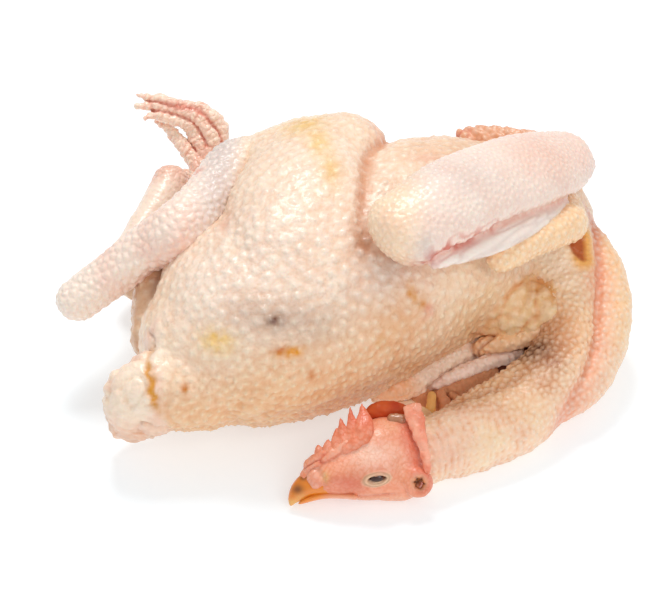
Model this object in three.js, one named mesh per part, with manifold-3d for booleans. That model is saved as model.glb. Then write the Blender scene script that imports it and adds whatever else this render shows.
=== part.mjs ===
// A whole raw plucked chicken with its head and feet, lying on its right side with its neck bent
// back beside it. Units are millimetres, +Z is up, and the bird lies on Z = 0: its tail points
// to -X, its breast to +X and +Y, its back to -Y, and its left side up. The bird is one solid:
// each region is a closed tube with elliptical sections, and all of them are joined.
import * as THREE from "three";
import { mergeVertices } from "three/addons/utils/BufferGeometryUtils.js";
import Module from "manifold-3d";

const wasm = await Module();
wasm.setup();

// ---- Driving dimensions -------------------------------------------------------------------
const SCALE = 1; // the whole bird, about 276 mm from hock to neck bend
const SHIFT = [-6.3, -17.7]; // moves the middle of the bird's box onto the Z axis
const DOME_RINGS = 3; // rings that round off each end of a tube
const FLOOR = 0; // what lies lower is pressed flat
const UP = [0, 0, 1];
const CROWN = [0, 0.72, 0.69]; // from the head's jaw to its crown
const SIDEWAYS = [0, -0.69, 0.72]; // out of the left side of its face

// Landmarks of the skeleton.
const JOINT = {
  hipL: [-16.5, -4, 76],
  kneeL: [3, 58, 80],
  hockL: [-121.9, -4.8, 49],
  ballL: [-82, 77, 60],
  kneeR: [34, 70, 27],
  hockR: [-99, 46, 21],
  ballR: [-62, 117, 42],
  elbowL: [32, -26, 109],
  wristL: [115, 58, 88],
  nape: [44, -74, 17],
};

// ---- Shape tools --------------------------------------------------------------------------
const vector = (p) => new THREE.Vector3(...p);

// A mesh's triangles as a solid that can be joined and cut.
function solidOf(geometry) {
  const bare = geometry.clone();
  for (const name of ["normal", "uv"]) bare.deleteAttribute(name);
  const merged = mergeVertices(bare, 1e-4);
  return new wasm.Manifold(
    new wasm.Mesh({
      numProp: 3,
      vertProperties: merged.attributes.position.array,
      triVerts: new Uint32Array(merged.index.array),
    }),
  );
}

// A closed tube through stations [x, y, z, half width, half thickness]. The thickness lies along
// thin, and the width across it and the path. outline(angle, t) scales the section's radius.
function tube(stations, { rings = 8, sides = 12, thin = UP, outline = () => 1 } = {}) {
  const line = new THREE.CatmullRomCurve3(
    stations.map((s) => vector(s.slice(0, 3))), false, "catmullrom", 0.5);
  const sizes = new THREE.CatmullRomCurve3(
    stations.map((s) => new THREE.Vector3(s[3], s[4] ?? s[3], 0)), false, "catmullrom", 0.5);
  const sections = [];
  for (let i = 0; i < DOME_RINGS; i++) {
    const rise = ((i / DOME_RINGS) * Math.PI) / 2;
    sections.push({ t: 0, shrink: Math.sin(rise), push: -Math.cos(rise) });
  }
  for (let i = 0; i <= rings; i++) sections.push({ t: i / rings, shrink: 1, push: 0 });
  for (let i = DOME_RINGS - 1; i >= 0; i--) {
    const rise = ((i / DOME_RINGS) * Math.PI) / 2;
    sections.push({ t: 1, shrink: Math.sin(rise), push: Math.cos(rise) });
  }
  const positions = [];
  const index = [];
  for (const { t, shrink, push } of sections) {
    const along = line.getTangent(t);
    const wide = new THREE.Vector3().crossVectors(vector(thin), along).normalize();
    const thick = new THREE.Vector3().crossVectors(along, wide).normalize();
    const size = sizes.getPoint(t);
    const centre = line.getPoint(t).addScaledVector(along, push * Math.min(size.x, size.y));
    const ring = shrink === 0 ? 1 : sides;
    for (let k = 0; k < ring; k++) {
      const angle = (k / sides) * 2 * Math.PI;
      const reach = shrink * outline(angle, t);
      const point = centre
        .clone()
        .addScaledVector(wide, reach * size.x * Math.cos(angle))
        .addScaledVector(thick, reach * size.y * Math.sin(angle));
      positions.push(...point);
    }
  }
  const last = positions.length / 3 - 1;
  const rows = (last - 1) / sides;
  for (let k = 0; k < sides; k++) {
    const next = (k + 1) % sides;
    index.push(0, 1 + next, 1 + k);
    for (let row = 0; row < rows - 1; row++) {
      const low = 1 + row * sides;
      const high = low + sides;
      index.push(low + k, low + next, high + next, low + k, high + next, high + k);
    }
    const top = 1 + (rows - 1) * sides;
    index.push(top + k, top + next, last);
  }
  const geometry = new THREE.BufferGeometry();
  geometry.setAttribute("position", new THREE.Float32BufferAttribute(positions, 3));
  geometry.setIndex(index);
  return solidOf(geometry);
}

// A flat outline of [x, y] points given a thickness, bevelled, and set into a frame of three axes.
function blade(points, thickness, origin, along, upward) {
  const shape = new THREE.Shape(points.map(([x, y]) => new THREE.Vector2(x, y)));
  const geometry = new THREE.ExtrudeGeometry(shape, {
    depth: thickness, bevelEnabled: false, steps: 1,
  });
  geometry.translate(0, 0, -thickness / 2);
  const x = vector(along).normalize();
  const z = new THREE.Vector3().crossVectors(x, vector(upward)).normalize();
  const y = new THREE.Vector3().crossVectors(z, x);
  geometry.applyMatrix4(new THREE.Matrix4().makeBasis(x, y, z).setPosition(...origin));
  return solidOf(geometry);
}

const union = (solids) => solids.reduce((whole, solid) => whole.add(solid));

// The outer surface alone: where folds shut in a pocket, the pocket is filled.
function withoutPockets(solid) {
  const shells = solid.decompose();
  return shells.reduce((best, shell) => (shell.volume() > best.volume() ? shell : best));
}

// ---- The bird's regions -------------------------------------------------------------------
// The trunk from the rump to the base of the neck, with a keel on its breast side.
function trunk() {
  const keel = (angle, t) => {
    const towardsBreast = Math.max(0, -Math.cos(angle));
    return 1 + 0.05 * towardsBreast ** 8 * Math.sin(Math.PI * Math.min(1, 1.2 * t));
  };
  return tube(
    [
      [-66, -31, 44, 26, 22], [-58, -29, 45, 37, 32], [-47, -25, 46, 46, 39],
      [-33, -17, 50, 55, 46.5], [0, 4, 50, 57, 51], [32, 28, 52, 55, 53.5], [61, 46, 48, 47, 49],
      [88, 58, 46, 38, 39], [103, 62, 43, 27, 29],
    ],
    { rings: 17, sides: 24, outline: keel },
  );
}

// The tail's stump with its corner, and the skin under it round the vent.
function tail() {
  const root = tube(
    [
      [-62, -50, 39, 22, 23], [-74, -55, 38.5, 18.5, 20], [-84, -57, 36, 17, 19.5],
      [-90, -58, 33, 15, 18.5],
    ],
    { rings: 6, sides: 14 },
  );
  const corner = tube(
    [
      [-99.6, -57.6, 15, 5.5], [-91, -53.2, 16, 7.2], [-80.1, -50.9, 19, 7.5],
      [-70.5, -51.5, 24, 9],
    ],
    { rings: 4, sides: 10 },
  );
  const vent = tube(
    [
      [-86, -16, 36, 11, 15], [-84, 2, 44, 12, 19], [-76, 14, 48, 12, 19],
    ],
    { rings: 4, sides: 10 },
  );
  return union([root, corner, vent]);
}

// The upper leg: folded at the knee and hock, with its toes hanging behind the shank.
function leftLeg() {
  const thigh = tube(
    [
      [...JOINT.hipL, 37.5, 34], [-12, 20, 80, 39, 33], [-8, 42, 80, 36.5, 31],
      [...JOINT.kneeL, 27.5],
    ],
    { rings: 6, sides: 16 },
  );
  const drumstick = tube(
    [
      [...JOINT.kneeL, 26], [-14, 58, 78, 27], [-28, 56, 77, 25],
      [-36, 56, 78, 19], [-47, 52, 82, 16], [-60.6, 26.3, 84, 13.3], [-72.6, 7.3, 82, 13.6],
      [-89, 6.7, 71, 11.4], [-104.7, 3, 59, 10.8], [-113.3, -1.1, 54, 10.2],
      [...JOINT.hockL, 10.2],
    ],
    { rings: 18, sides: 14 },
  );
  const shank = tube(
    [
      [...JOINT.hockL, 9], [-118.5, 6.8, 50, 7.4], [-109.9, 15.7, 52, 6.9],
      [-102.2, 24.3, 54, 6.9], [-96.6, 36.8, 55, 7], [-91.4, 49.3, 57, 7.3],
      [-85.7, 62.1, 59, 8.6], [-81.2, 73.1, 60, 9.6],
    ],
    { rings: 9, sides: 12 },
  );
  const toes = [-1, 0, 1].map((side) => {
    const [x, y, z] = JOINT.ballL;
    return tube(
      [[x, y, z, 5], [x + 4 + 4 * side, y + 12, z - 10, 4.2], [x + 6 * side, y + 12, z - 26, 3.6],
        [x - 2 + 6 * side, y + 7, z - 38, 1.8]],
      { rings: 5, sides: 8, thin: [1, 0, 0] });
  });
  return union([thigh, drumstick, shank, ...toes]);
}

// The lower leg: folded on the floor, with its foot curled back towards the hock.
function rightLeg() {
  const drumstick = tube(
    [
      [...JOINT.kneeR, 26], [4, 68, 27, 27], [-26, 62, 26, 24], [-56, 55, 23, 16],
      [-80, 49, 21, 11.5], [...JOINT.hockR, 11],
    ],
    { rings: 10, sides: 12 },
  );
  const shank = tube(
    [
      [...JOINT.hockR, 10], [-88, 70, 26, 8], [-74, 96, 33, 8], [...JOINT.ballR, 9, 8],
    ],
    { rings: 6, sides: 12 },
  );
  const toes = [
    [[-61, 121, 44, 5], [-59.5, 127.5, 52, 4.8], [-63.5, 130, 60, 4.4], [-71, 132, 64, 4],
      [-81.5, 132, 67, 3.5], [-91, 133.6, 69.5, 2.4], [-102, 134.8, 71.5, 0.8]],
    [[-62, 117, 44, 5.2], [-64, 124, 52, 5], [-69, 129, 60, 4.8], [-77, 131, 64, 4.4],
      [-87, 131, 66, 3.4], [-95, 131, 67, 2.2], [-103, 129, 68, 0.7]],
    [[-66, 115, 44, 4.6], [-69, 122, 50, 4.3], [-74, 127, 57, 4], [-82, 128, 61, 3.4],
      [-89, 128, 63, 2.8], [-94, 127, 64, 1.9], [-98, 123, 64, 0.7]],
    [[-69, 110, 42, 4.4], [-73, 116, 45, 3.8], [-78, 120, 49, 3.0], [-82, 125, 52, 2.7],
      [-86, 129, 54, 2.2], [-92, 132, 56, 0.8]],
  ].map((stations) => tube(stations, { rings: 7, sides: 8, thin: [0.3, 0, 1] }));
  return union([drumstick, shank, ...toes]);
}

// The upper wing: folded along the back, with its tip turned back at the wrist.
function leftWing() {
  const outward = [0.1, -0.3, 0.95];
  const forearm = tube(
    [
      [...JOINT.elbowL, 18.3, 14], [49, -12, 111, 20, 13.5], [68, 7, 108, 20.8, 12.5],
      [88, 26.5, 101, 21, 11.5], [103.5, 44, 94, 19.5, 10.5], [...JOINT.wristL, 14.3, 9],
    ],
    { rings: 11, sides: 14, thin: outward },
  );
  const hand = tube(
    [
      [...JOINT.wristL, 9], [107, 72, 80, 8], [90, 78, 80, 8], [75, 81, 81, 6.5],
      [64, 82, 82, 3.5],
    ],
    { rings: 6, sides: 10 },
  );
  const upperArm = tube(
    [
      [77.6, -16, 84, 6.6], [89.4, -7, 83.5, 7], [99.6, 3, 82, 7.6], [111, 18, 77, 9],
      [110, 42, 66, 12],
    ],
    { rings: 6, sides: 12 },
  );
  const web = tube(
    [
      [42, -29, 101, 12, 4], [68, -13, 97, 13, 4.5], [88, 6, 93, 12, 4.5], [106, 28, 85, 9, 5],
    ],
    { rings: 7, sides: 10, thin: outward },
  );
  const underside = tube(
    [
      [40, -14, 94, 12, 10], [66, 14, 88, 14, 12], [86, 34, 82, 13, 12], [102, 48, 74, 12, 13],
    ],
    { rings: 5, sides: 10 },
  );
  return union([forearm, hand, upperArm, web, underside]);
}

// The lower wing: its elbow and hand show between the back and the neck.
function rightWing() {
  const facing = [0, -0.64, 0.77];
  const forearm = tube(
    [
      [22.2, -30.8, 14, 4, 5], [26.5, -29.7, 15, 5.6, 6], [32.8, -27.3, 16, 6.8, 7],
      [41.5, -23.4, 17, 6.8, 7], [51.3, -16.5, 18, 5.8, 6], [61.2, -10, 19, 5.1, 6],
      [70.1, -4.2, 20, 4, 5],
    ],
    { rings: 8, sides: 10, thin: facing },
  );
  const hand = tube(
    [
      [45.3, -27.2, 14, 1.2, 2], [51.1, -25.1, 16, 2.2, 2.4], [58.3, -23, 18, 2.9, 2.6],
      [72.9, -16.6, 20, 3.5, 2.8], [85.2, -11.2, 21, 3.4, 2.8], [89.6, -9.7, 21, 2.8, 2.6],
    ],
    { rings: 6, sides: 8, thin: facing },
  );
  const upperArm = tube(
    [
      [69.4, -8.3, 22, 3.6, 4], [76.9, -9.2, 25, 4.7, 5], [85.5, -9.1, 27.5, 4.2, 5],
      [95, -8.7, 31, 4.3, 5], [103.1, -7.1, 34, 4, 5],
    ],
    { rings: 5, sides: 10, thin: facing },
  );
  return union([forearm, hand, upperArm]);
}

// The neck bent back round the breast, with the loose skin outside and inside its bend.
function neck() {
  const core = tube(
    [
      [95, 50, 47, 31, 32], [105, 40, 44, 27.5, 30], [112, 24, 38, 22, 25],
      [113, 4, 31, 17.5, 20], [111, -17, 24, 16.2, 18.5], [101, -36, 19, 16.6, 18],
      [85, -52, 16, 16, 17], [66, -63, 16, 15.5, 17], [...JOINT.nape, 15.5],
    ],
    { rings: 19, sides: 14 },
  );
  const looseSkin = tube(
    [
      [106, 54, 60, 11], [115, 46, 56, 11.5], [124, 33, 48, 13], [131, 14, 37, 13.5],
      [129, -8, 27, 12.5], [119.5, -28, 20, 11.5], [106, -42, 17, 10.5], [92, -50, 15, 9.5],
    ],
    { rings: 11, sides: 12 },
  );
  const innerSkin = tube(
    [
      [48, -64, 18, 8], [60, -57, 19, 9.5], [74, -48, 20, 10.5], [86, -40, 22, 11],
      [98, -31, 26, 11], [107, -20, 32, 10], [110, -6, 36, 9],
    ],
    { rings: 9, sides: 10 },
  );
  const pleats = tube(
    [
      [74, 12, 36, 16], [88, 6, 36, 15], [101, 6, 36, 15], [112, 2, 34, 14],
    ],
    { rings: 6, sides: 12 },
  );
  return union([core, looseSkin, innerSkin, pleats]);
}

// The head on its right side, its beak towards the tail, with a single comb.
function head() {
  const skull = tube(
    [
      [...JOINT.nape, 16, 14], [34, -79, 20, 19, 15], [20, -82, 20, 20.5, 15], [7, -87, 17, 17, 12.5],
      [-3, -90, 13, 12, 9.5], [-10, -92, 10, 8, 7], [-17, -95, 6, 4.5, 4], [-20, -96, 4, 2, 2],
    ],
    { rings: 15, sides: 12, thin: SIDEWAYS },
  );
  const comb = blade(
    [
      [-20, -15], [-15, -10], [-12, -3], [-8, -4], [-6, 2], [-1, 3], [1, 11], [3, 5], [5.5, 15.5], [8, 6],
      [11, 17], [16, 12], [17, 6], [27, 14], [33, 12], [34, 0], [14, -8],
    ],
    5, [3, -78, 27], [1, 0, 0], CROWN);
  return union([skull, comb]);
}

const PARTS = [trunk(), tail(), leftLeg(), rightLeg(), leftWing(), rightWing(), neck(), head()];

function chicken() {
  const floorCut = new THREE.BoxGeometry(1000, 1000, 100).translate(0, 0, FLOOR - 50);
  const bird = withoutPockets(union(PARTS).subtract(solidOf(floorCut)));
  const made = bird.getMesh();
  const geometry = new THREE.BufferGeometry();
  geometry.setAttribute("position", new THREE.BufferAttribute(made.vertProperties, 3));
  geometry.setIndex(new THREE.BufferAttribute(made.triVerts, 1));
  geometry.translate(SHIFT[0], SHIFT[1], 0);
  geometry.scale(SCALE, SCALE, SCALE);
  const skin = new THREE.MeshStandardMaterial({ color: 0xf0d3bd, roughness: 0.45, metalness: 0 });
  const mesh = new THREE.Mesh(geometry, skin);
  mesh.name = "chicken";
  return mesh;
}

const root = new THREE.Group();
root.add(chicken());
export default root;
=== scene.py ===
"""A whole raw plucked chicken, lying on its right side with its neck bent back beside it.

The shapes are worked out in model millimetres, in the bird's own frame: its tail points to -X, its
breast to +X and +Y, its back to -Y, and its left side up. Each region of skin is the zero level of
a field made of tubes with elliptical sections, which run into each other with soft or tight joins.
A net of quads is laid over that level, made finer, and pushed in and out for goose bumps, cells,
folds and wrinkles.
"""

import math

import bpy
import numpy as np
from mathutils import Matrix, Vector


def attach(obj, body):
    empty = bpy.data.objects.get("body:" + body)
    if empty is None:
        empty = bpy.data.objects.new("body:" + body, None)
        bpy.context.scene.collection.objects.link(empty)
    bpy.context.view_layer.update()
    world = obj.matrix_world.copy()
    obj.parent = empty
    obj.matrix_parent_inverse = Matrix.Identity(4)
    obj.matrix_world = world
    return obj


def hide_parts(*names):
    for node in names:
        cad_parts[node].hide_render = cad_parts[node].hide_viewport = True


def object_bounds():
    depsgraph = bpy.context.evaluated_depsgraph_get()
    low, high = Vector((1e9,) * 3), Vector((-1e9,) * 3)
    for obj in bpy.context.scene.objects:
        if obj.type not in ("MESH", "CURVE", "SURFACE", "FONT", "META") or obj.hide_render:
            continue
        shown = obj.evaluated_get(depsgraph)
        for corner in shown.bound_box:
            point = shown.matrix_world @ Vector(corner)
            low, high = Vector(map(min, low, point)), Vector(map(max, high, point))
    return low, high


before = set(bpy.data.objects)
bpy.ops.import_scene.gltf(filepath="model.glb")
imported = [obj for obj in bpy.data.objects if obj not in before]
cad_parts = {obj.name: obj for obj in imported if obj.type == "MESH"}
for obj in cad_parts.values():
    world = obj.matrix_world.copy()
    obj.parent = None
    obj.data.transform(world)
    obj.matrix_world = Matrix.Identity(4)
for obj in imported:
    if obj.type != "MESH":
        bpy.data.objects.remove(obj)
CAD_LOW, CAD_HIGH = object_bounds()

# ---- Driving dimensions ----------------------------------------------------------------------
LENGTH = 276.7                                    # from hock to neck bend, in model millimetres
MM = (CAD_HIGH[0] - CAD_LOW[0]) / LENGTH          # one model millimetre, in metres
SHIFT = np.array([-6.3, -17.7, 0.0])              # from the bird's own frame to the part's
UP = (0.0, 0.0, 1.0)
CROWN = (0.0, 0.72, 0.69)                         # from the head's jaw to its crown
SIDEWAYS = (0.0, -0.69, 0.72)                     # out of the left side of the face
FAR = 30.0                                        # how far a tube's field reaches

rng = np.random.default_rng(7)


# ---- Fields ----------------------------------------------------------------------------------
def catmull(points, t):
    """The uniform Catmull-Rom curve through the points, at t from 0 to 1, with straight run-outs."""
    points = np.asarray(points, float)
    padded = np.vstack([2 * points[0] - points[1], points, 2 * points[-1] - points[-2]])
    spans = len(points) - 1
    place = np.clip(t, 0, 1) * spans
    i = np.minimum(place.astype(int), spans - 1)
    u = (place - i)[:, None]
    a, b, c, d = (padded[i + k] for k in range(4))
    return 0.5 * (2 * b + (c - a) * u + (2 * a - 5 * b + 4 * c - d) * u**2
                  + (3 * b - a - 3 * c + d) * u**3)


def unit(v):
    """Vectors scaled to a length of 1."""
    return v / np.maximum(np.linalg.norm(v, axis=-1, keepdims=True), 1e-9)


class Tube:
    """A row of ellipsoids along a curve through stations [x, y, z, half width, half thickness]."""

    def __init__(self, stations, thin=UP, spacing=2.0):
        rows = np.array([list(s) + [s[3]] * (5 - len(s)) for s in stations], float)
        spine = rows[:, :3]
        length = np.linalg.norm(np.diff(spine, axis=0), axis=1).sum()
        count = max(8, int(length / spacing))
        t = np.linspace(0, 1, count)
        self.centre = catmull(spine, t)
        size = catmull(rows[:, 3:], t)
        self.along = unit(np.gradient(self.centre, axis=0))
        wide = unit(np.cross(np.array(thin, float), self.along))
        thick = np.cross(self.along, wide)
        self.slim = size.min(axis=1)
        half = np.stack([size[:, 0], size[:, 1], self.slim], axis=1)
        axes = np.stack([wide, thick, self.along], axis=1) / half[:, :, None]
        self.turn = axes.reshape(-1, 3).T.astype(np.float32)
        self.lean = np.einsum("nij,nj->ni", axes, self.centre).reshape(-1).astype(np.float32)
        reach = size.max() + FAR
        steps = np.linalg.norm(np.diff(self.centre, axis=0), axis=1)
        self.mileage = np.concatenate([[0], np.cumsum(steps)])
        self.low = self.centre.min(axis=0) - reach
        self.high = self.centre.max(axis=0) + reach

    def distance(self, points):
        """How far each point is outside the nearest ellipsoid, about, and negative inside."""
        out = np.full(len(points), FAR, np.float32)
        near = np.flatnonzero(((points > self.low) & (points < self.high)).all(axis=1))
        for part in np.array_split(near, max(1, len(near) // 20000)):
            local = (points[part].astype(np.float32) @ self.turn - self.lean)
            local = local.reshape(len(part), -1, 3)
            gap = (np.sqrt((local * local).sum(axis=2)) - 1) * self.slim.astype(np.float32)
            out[part] = np.minimum(gap.min(axis=1), FAR)
        return out


    def run(self, points):
        """How far along the curve the nearest place to each point is."""
        out = np.empty(len(points))
        for part in np.array_split(np.arange(len(points)), max(1, len(points) // 20000)):
            here = points[part]
            gap = ((here[:, None] - self.centre[None]) ** 2).sum(axis=2)
            i = gap.argmin(axis=1)
            out[part] = self.mileage[i] + ((here - self.centre[i]) * self.along[i]).sum(axis=1)
        return out


def joined(a, b, soft):
    """The union of two fields, with a fillet about as wide as soft."""
    mix = np.clip(0.5 + 0.5 * (b - a) / soft, 0, 1)
    return b + (a - b) * mix - soft * mix * (1 - mix)


def ramp(value, start, end):
    """A smooth step from 0 at start to 1 at end."""
    t = np.clip((value - start) / (end - start), 0, 1)
    return t * t * (3 - 2 * t)


def spot(points, centre, radius):
    """A soft round patch: 1 at the centre, falling off as a bell of that radius."""
    gap = (points - np.array(centre, float)) / np.array(radius, float)
    return np.exp(-(gap * gap).sum(axis=1))


# ---- Meshes ----------------------------------------------------------------------------------
def net_over(field, low, high, step):
    """Quads over the zero level of a field. Each grid cell that the level crosses holds one point,
    at the mean of the crossings of its edges, and each crossed grid edge has one quad round it."""
    axes = [np.arange(low[i], high[i] + step, step) for i in range(3)]
    shape = [len(a) for a in axes]
    grid = np.stack(np.meshgrid(*axes, indexing="ij"), axis=-1).reshape(-1, 3)
    value = field(grid).reshape(shape)
    cells = [n - 1 for n in shape]
    total = np.zeros(cells + [3])
    hits = np.zeros(cells)
    quads = []
    number = np.full(cells, -1)
    crossings = []
    for axis in range(3):
        near = value.take(range(shape[axis] - 1), axis)
        far = value.take(range(1, shape[axis]), axis)
        crossed = (near < 0) != (far < 0)
        crossings.append((crossed, near < 0))
        part = np.where(crossed, near / np.where(near == far, 1, near - far), 0)
        others = [a for a in range(3) if a != axis]
        for step_a in (0, 1):
            for step_b in (0, 1):
                pick = [slice(None)] * 3
                for other, move in zip(others, (step_a, step_b)):
                    pick[other] = slice(move, cells[other] + move)
                here = crossed[tuple(pick)]
                offset = np.zeros(cells + [3])
                offset[..., axis] = part[tuple(pick)]
                offset[..., others[0]] = step_a
                offset[..., others[1]] = step_b
                total += offset * here[..., None]
                hits += here
    used = hits > 0
    number[used] = np.arange(used.sum())
    corner = np.stack(np.nonzero(used), axis=1)
    verts = np.array(low) + step * (corner + total[used] / hits[used][:, None])
    for axis in range(3):
        crossed, starts_inside = crossings[axis]
        b, c = [a for a in range(3) if a != axis]
        place = np.stack(np.nonzero(crossed), axis=1)
        place = place[(place[:, b] > 0) & (place[:, c] > 0)
                      & (place[:, b] < cells[b]) & (place[:, c] < cells[c])]
        ring = []
        for move_b, move_c in ((-1, -1), (0, -1), (0, 0), (-1, 0)):
            cell = place.copy()
            cell[:, b] += move_b
            cell[:, c] += move_c
            ring.append(number[tuple(cell.T)])
        quad = np.stack(ring, axis=1)
        outward = starts_inside[tuple(place.T)] == (axis != 1)
        quads.append(np.where(outward[:, None], quad, quad[:, ::-1]))
    return verts, np.concatenate(quads)


def settle(verts, field, rounds=3):
    """Moves points onto the zero level along the field's slope, which is measured by differences."""
    reach = 0.3
    for _ in range(rounds):
        value = field(verts)
        slope = np.stack([(field(verts + reach * e) - value) / reach for e in np.eye(3)], axis=1)
        square = np.maximum((slope * slope).sum(axis=1), 0.1)
        verts = verts - np.clip(value / square, -2, 2)[:, None] * slope
    return verts


def finer(verts, quads, levels):
    """Catmull-Clark subdivision, done by Blender's own modifier on a scratch mesh."""
    mesh = bpy.data.meshes.new("scratch")
    mesh.from_pydata(verts.tolist(), [], quads.tolist())
    thing = bpy.data.objects.new("scratch", mesh)
    bpy.context.scene.collection.objects.link(thing)
    sub = thing.modifiers.new("finer", "SUBSURF")
    sub.levels = sub.render_levels = levels
    done = thing.evaluated_get(bpy.context.evaluated_depsgraph_get()).to_mesh()
    out = np.empty(len(done.vertices) * 3)
    done.vertices.foreach_get("co", out)
    loops = np.empty(len(done.loops), int)
    done.loops.foreach_get("vertex_index", loops)
    bpy.data.objects.remove(thing)
    bpy.data.meshes.remove(mesh)
    return out.reshape(-1, 3), loops.reshape(-1, 4)


def normals_of(verts, faces):
    """Each point's normal: the mean of its quads' normals, by area."""
    a, b, c, d = (verts[faces[:, k]] for k in range(4))
    flat = np.cross(c - a, d - b)
    out = np.zeros_like(verts)
    for k in range(4):
        for axis in range(3):
            out[:, axis] += np.bincount(faces[:, k], flat[:, axis], len(verts))
    return unit(out)


def add_mesh(name, verts, faces, material, slot, colours=None, **masks):
    """Makes a smooth mesh object from points in the bird's frame, with its colour and its masks."""
    mesh = bpy.data.meshes.new(name)
    mesh.from_pydata(((verts + SHIFT) * MM).tolist(), [], faces.tolist())
    mesh.shade_smooth()
    if colours is not None:
        layer = mesh.attributes.new("tint", "FLOAT_COLOR", "POINT")
        rgba = np.ones((len(verts), 4), np.float32)
        rgba[:, :3] = colours
        layer.data.foreach_set("color", rgba.reshape(-1))
    for mask, values in masks.items():
        layer = mesh.attributes.new(mask, "FLOAT", "POINT")
        layer.data.foreach_set("value", np.ascontiguousarray(values, np.float32))
    mesh.materials.append(material)
    thing = bpy.data.objects.new(name, mesh)
    bpy.context.scene.collection.objects.link(thing)
    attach(thing, "root")
    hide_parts("chicken")
    return thing


# ---- Skin relief -----------------------------------------------------------------------------
def scatter(verts, spacing, draws=12):
    """Follicles: points of the surface drawn at random, kept where no earlier one is closer than the
    spacing there."""
    batch = 500
    count = int(draws * len(verts) / batch * 0.6) + 4
    kept = np.zeros((0, 3), np.float32)
    room = np.zeros(0, np.float32)
    for _ in range(min(count, 130)):
        pick = rng.integers(0, len(verts), batch)
        fresh, need = verts[pick].astype(np.float32), spacing[pick].astype(np.float32)
        if len(kept):
            gap = (fresh**2).sum(axis=1)[:, None] + (kept**2).sum(axis=1)[None] - 2 * fresh @ kept.T
            free = (gap > need[:, None] ** 2).all(axis=1)
            fresh, need = fresh[free], need[free]
        gap = ((fresh[:, None] - fresh[None]) ** 2).sum(axis=2)
        earlier = np.tril(np.ones((len(fresh), len(fresh)), bool), -1)
        clear = ~((gap < need[:, None] ** 2) & earlier).any(axis=1)
        kept = np.vstack([kept, fresh[clear]])
        room = np.concatenate([room, need[clear]])
    return kept, room


def nearest_two(verts, seeds):
    """The distances from each point to its nearest and second nearest follicle, and which is nearest,
    worked out slab by slab along X."""
    first = np.full(len(verts), 9.0)
    second = np.full(len(verts), 9.0)
    which = np.zeros(len(verts), int)
    order = np.argsort(verts[:, 0])
    reach = 9.0
    for part in np.array_split(order, max(1, len(verts) // 1500)):
        here = verts[part].astype(np.float32)
        low, high = here.min(axis=0) - reach, here.max(axis=0) + reach
        near = np.flatnonzero(((seeds > low) & (seeds < high)).all(axis=1))
        if len(near) < 2:
            continue
        close = seeds[near]
        gap = (close**2).sum(axis=1)[None] - 2 * here @ close.T
        two = np.argpartition(gap, 1, axis=1)[:, :2]
        gap = np.take_along_axis(gap, two, axis=1) + (here**2).sum(axis=1)[:, None]
        rank = np.argsort(gap, axis=1)
        gap = np.sqrt(np.maximum(np.take_along_axis(gap, rank, axis=1), 0))
        first[part], second[part] = gap[:, 0], gap[:, 1]
        which[part] = near[np.take_along_axis(two, rank, axis=1)[:, 0]]
    return first, second, which


def goose(verts, spacing):
    """Goose bumps and cells: dome is 1 on a follicle and 0 between; cell is 0 in the grooves between
    follicles and rises to 1; size is a random number for each follicle."""
    seeds, room = scatter(verts, spacing)
    first, second, which = nearest_two(verts, seeds)
    dome = np.exp(-((first / (0.34 * room[which])) ** 2))
    cell = np.sqrt(np.clip((second - first) / (0.8 * room[which]), 0, 1))
    size = rng.random(len(seeds))[which]
    return dome, cell, size


_lattice = rng.random((32, 32, 32))
_askew = np.array([(0.36, 0.48, -0.8), (-0.8, 0.6, 0.0), (0.48, 0.64, 0.6)])  # three axes at right angles


def noise(points, size):
    """Smooth value noise from -1 to 1: a lattice of random numbers, blended between its knots. With
    one size for all directions, the lattice stands askew, so that it lines up with no edge."""
    turned = points @ _askew if np.ndim(size) == 0 else points
    place = turned / np.array(size, float) + 100.37
    base = np.floor(place).astype(int)
    f = place - base
    f = f * f * (3 - 2 * f)
    out = np.zeros(len(points))
    for dx in (0, 1):
        for dy in (0, 1):
            for dz in (0, 1):
                w = (np.abs(1 - dx - f[:, 0]) * np.abs(1 - dy - f[:, 1]) * np.abs(1 - dz - f[:, 2]))
                out += w * _lattice[(base[:, 0] + dx) % 32, (base[:, 1] + dy) % 32, (base[:, 2] + dz) % 32]
    return out * 2 - 1


# ---- Materials -------------------------------------------------------------------------------
class Sock:
    """A node's output socket, with the arithmetic operators adding Math nodes."""

    def __init__(self, tree, socket):
        self.tree = tree
        self.socket = socket

    def node(self, kind, settings=None, inputs=None, output=0):
        made = self.tree.nodes.new(kind)
        for name, value in (settings or {}).items():
            setattr(made, name, value)
        for name, value in (inputs or {}).items():
            if isinstance(value, Sock):
                self.tree.links.new(value.socket, made.inputs[name])
            else:
                made.inputs[name].default_value = value
        return Sock(self.tree, made.outputs[output])

    def math(self, operation, *values):
        return self.node("ShaderNodeMath", {"operation": operation}, dict(enumerate(values)))

    def __add__(self, other):
        return self.math("ADD", self, other)

    def __sub__(self, other):
        return self.math("SUBTRACT", self, other)

    def __mul__(self, other):
        return self.math("MULTIPLY", self, other)

    def __rsub__(self, other):
        return self.math("SUBTRACT", other, self)

    __radd__ = __add__
    __rmul__ = __mul__


def new_material(name):
    """A material with one Principled shader. Returns the material, the shader and a first Sock."""
    material = bpy.data.materials.new(name)
    material.use_nodes = True
    tree = material.node_tree
    tree.nodes.clear()
    shader = tree.nodes.new("ShaderNodeBsdfPrincipled")
    out = tree.nodes.new("ShaderNodeOutputMaterial")
    tree.links.new(shader.outputs[0], out.inputs[0])
    where = tree.nodes.new("ShaderNodeTexCoord")
    return material, shader, Sock(tree, where.outputs["Object"])


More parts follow.
